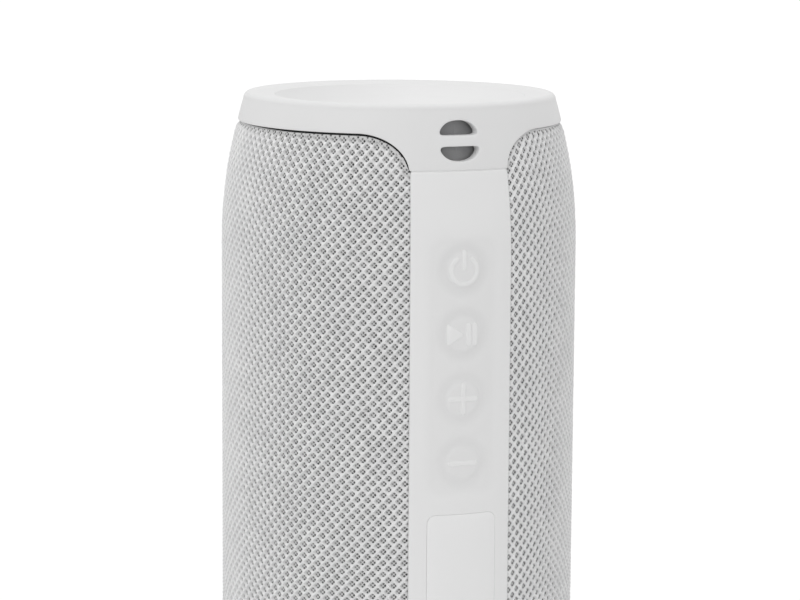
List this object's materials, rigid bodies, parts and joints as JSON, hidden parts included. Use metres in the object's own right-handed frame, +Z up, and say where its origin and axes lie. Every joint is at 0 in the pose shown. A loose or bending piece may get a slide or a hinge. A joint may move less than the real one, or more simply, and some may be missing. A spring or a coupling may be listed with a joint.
{
  "type": "portable bluetooth speaker",
  "caption": "Upright cylindrical portable speaker with a knitted mesh sleeve, a control strip with round keys and a port flap, and a passive radiator in each end.",
  "frame": {"origin": "centre of the plane the speaker stands on", "axes": "+Z up along the body; the control strip faces -Y; +X is to the right of the strip as seen from in front of it"},
  "size_m": [0.0716, 0.0721, 0.175],
  "materials": {
    "shell": "fine matte grain, light grey",
    "soft_strip": "soft matte elastomer, light grey",
    "cloth": "open knitted spacer mesh, light grey",
    "inner_plastic": "matte",
    "housing_shell": "matte",
    "seal": "matte",
    "steel": "satin",
    "board": "solder mask",
    "chip": "satin",
    "cell_wrap": "shrink film",
    "magnet": "coated",
    "cone": "matte",
    "copper": "satin",
    "lens": "clear lens",
    "wire": "wire cover",
    "wire_black": "wire cover",
    "can": "satin"
  },
  "bodies": {
    "housing": {"amplifier_chip": "chip", "aux_jack": "inner_plastic", "battery_bracket": "inner_plastic", "battery_cell": "cell_wrap", "battery_lead": "wire", "bluetooth_module": "steel", "board_screw_lower": "steel", "board_screw_upper": "steel", "bottom_cap": "shell", "bottom_radiator_frame": "inner_plastic", "capacitor_left": "can", "capacitor_right": "can", "card_slot": "steel", "control_strip": "soft_strip", "driver_grille": "inner_plastic", "fabric_sleeve": "cloth", "flap_hinge_pin": "steel", "front_housing": "housing_shell", "housing_screw_lower_left": "steel", "housing_screw_lower_right": "steel", "housing_screw_upper_left": "steel", "housing_screw_upper_right": "steel", "lower_driver_basket": "inner_plastic", "lower_driver_gasket": "seal", "lower_driver_magnet": "magnet", "lower_speaker_lead": "wire_black", "main_board": "board", "microphone": "can", "play_switch": "inner_plastic", "power_switch": "inner_plastic", "rear_housing": "housing_shell", "status_led": "lens", "top_cap": "shell", "top_radiator_frame": "inner_plastic", "upper_driver_basket": "inner_plastic", "upper_driver_gasket": "seal", "upper_driver_magnet": "magnet", "upper_speaker_lead": "wire_black", "usb_c_port": "steel", "volume_down_switch": "inner_plastic", "volume_up_switch": "inner_plastic"},
    "power_key": {"power_button": "soft_strip", "power_switch_plunger": "seal"},
    "play_key": {"play_button": "soft_strip", "play_switch_plunger": "seal"},
    "volume_up_key": {"volume_up_button": "soft_strip", "volume_up_switch_plunger": "seal"},
    "volume_down_key": {"volume_down_button": "soft_strip", "volume_down_switch_plunger": "seal"},
    "flap": {"port_flap": "soft_strip"},
    "upper_driver_moving": {"upper_driver_cone": "cone", "upper_driver_coil": "copper"},
    "lower_driver_moving": {"lower_driver_cone": "cone", "lower_driver_coil": "copper"},
    "top_radiator_moving": {"top_radiator_surround": "soft_strip", "top_radiator_plate": "shell"},
    "bottom_radiator_moving": {"bottom_radiator_surround": "soft_strip", "bottom_radiator_plate": "shell"}
  },
  "joints": [
    {"name": "power_press", "type": "slide", "parent": "housing", "child": "power_key", "axis": [0, 1, 0], "range_m": [0, 0.0005]},
    {"name": "play_press", "type": "slide", "parent": "housing", "child": "play_key", "axis": [0, 1, 0], "range_m": [0, 0.0005]},
    {"name": "volume_up_press", "type": "slide", "parent": "housing", "child": "volume_up_key", "axis": [0, 1, 0], "range_m": [0, 0.0005]},
    {"name": "volume_down_press", "type": "slide", "parent": "housing", "child": "volume_down_key", "axis": [0, 1, 0], "range_m": [0, 0.0005]},
    {"name": "flap_hinge", "type": "hinge", "parent": "housing", "child": "flap", "pos_m": [0, -0.0342, 0.0522], "axis": [1, 0, 0], "range_deg": [0, 95]},
    {"name": "upper_driver_stroke", "type": "slide", "parent": "housing", "child": "upper_driver_moving", "axis": [0, 1, 0], "range_m": [-0.0015, 0.0015]},
    {"name": "lower_driver_stroke", "type": "slide", "parent": "housing", "child": "lower_driver_moving", "axis": [0, 1, 0], "range_m": [-0.0015, 0.0015]},
    {"name": "top_radiator_stroke", "type": "slide", "parent": "housing", "child": "top_radiator_moving", "axis": [0, 0, 1], "range_m": [-0.0015, 0.0015]},
    {"name": "bottom_radiator_stroke", "type": "slide", "parent": "housing", "child": "bottom_radiator_moving", "axis": [0, 0, -1], "range_m": [-0.0015, 0.0015]}
  ]
}
